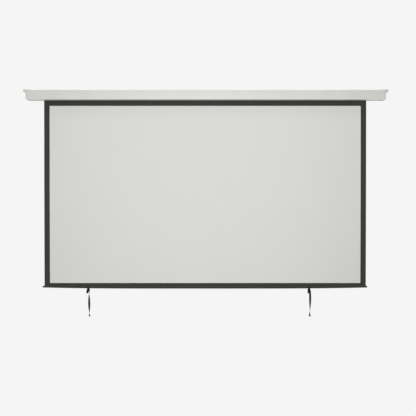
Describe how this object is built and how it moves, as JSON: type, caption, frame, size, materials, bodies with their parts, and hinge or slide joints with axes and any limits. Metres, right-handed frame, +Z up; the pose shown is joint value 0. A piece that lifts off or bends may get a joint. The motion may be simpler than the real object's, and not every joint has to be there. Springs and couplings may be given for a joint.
{
  "type": "pull-down projector screen",
  "caption": "Pull-down projector screen: a white case with a spring roller, matt white cloth with a black border, a bottom rod in a hem and pull straps.",
  "frame": {"origin": "middle of the case's flat back, which lies against the wall", "axes": "+X along the case, +Y into the wall, +Z up; the picture faces -Y"},
  "size_m": [2.567, 0.076, 1.5996],
  "materials": {
    "white_paint": "satin powder coat",
    "black_paint": "satin black coat",
    "white_plastic": "fine texture",
    "black_plastic": "fine texture",
    "black_cloth": "matt vinyl-coated cloth",
    "matt_white": "matt projection coating",
    "black_webbing": "woven tape",
    "zinc_steel": "zinc plated",
    "spring_steel": "oiled wire",
    "nylon": "moulded, natural"
  },
  "bodies": {
    "case": {"case_shell": "white_paint", "end_cap_left": "white_plastic", "end_cap_right": "white_plastic", "slot_trim_front": "black_plastic", "slot_trim_rear": "black_plastic", "roller_bracket_left": "zinc_steel", "roller_bracket_right": "zinc_steel", "bracket_bush": "nylon", "cap_screw_left_upper": "zinc_steel", "cap_screw_left_lower": "zinc_steel", "cap_screw_right_upper": "zinc_steel", "cap_screw_right_lower": "zinc_steel", "bracket_screw_left_front": "zinc_steel", "bracket_screw_left_rear": "zinc_steel", "bracket_screw_right_front": "zinc_steel", "bracket_screw_right_rear": "zinc_steel", "spring_spindle": "zinc_steel", "lock_ratchet": "zinc_steel", "spring_anchor": "nylon", "torsion_spring": "spring_steel", "screen_cloth": "black_cloth", "picture_surface": "matt_white"},
    "roller": {"roller_tube": "zinc_steel", "wound_cloth": "black_cloth", "lock_plug": "nylon", "lock_cover": "black_plastic", "pawl_pin_a": "spring_steel", "pawl_pin_b": "spring_steel", "spring_plug": "nylon", "idler_plug": "nylon", "idler_pin": "zinc_steel"},
    "pawl_a": {"lock_pawl_a": "zinc_steel"},
    "pawl_b": {"lock_pawl_b": "zinc_steel"},
    "bar": {"bottom_rod": "black_paint", "bottom_hem": "black_cloth", "rod_cap_left": "black_plastic", "rod_cap_right": "black_plastic"},
    "strap_left": {"pull_strap_left": "black_webbing"},
    "strap_right": {"pull_strap_right": "black_webbing"}
  },
  "joints": [
    {"name": "screen_travel", "type": "slide", "parent": "case", "child": "bar", "axis": [0, 0, 1], "range_m": [0, 1.3099], "deforming": ["screen_cloth", "picture_surface"]},
    {"name": "roller_turn", "type": "hinge", "parent": "case", "child": "roller", "pos_m": [0, -0.04, 0], "axis": [1, 0, 0], "range_deg": [0, 3600]},
    {"name": "pawl_a_swing", "type": "hinge", "parent": "roller", "child": "pawl_a", "pos_m": [-1.2327, -0.04, 0.0142], "axis": [1, 0, 0], "range_deg": [0, 18]},
    {"name": "pawl_b_swing", "type": "hinge", "parent": "roller", "child": "pawl_b", "pos_m": [-1.2327, -0.04, -0.0142], "axis": [1, 0, 0], "range_deg": [0, 18]},
    {"name": "strap_left_swing", "type": "hinge", "parent": "bar", "child": "strap_left", "pos_m": [-0.8307, -0.01845, -1.35692], "axis": [1, 0, 0], "range_deg": [-75, 75]},
    {"name": "strap_right_swing", "type": "hinge", "parent": "bar", "child": "strap_right", "pos_m": [0.7305, -0.01845, -1.35772], "axis": [1, 0, 0], "range_deg": [-75, 75]}
  ],
  "couplings": [
    {"joint": "roller_turn", "follows": "screen_travel", "rad_per_m": 47.967}
  ]
}
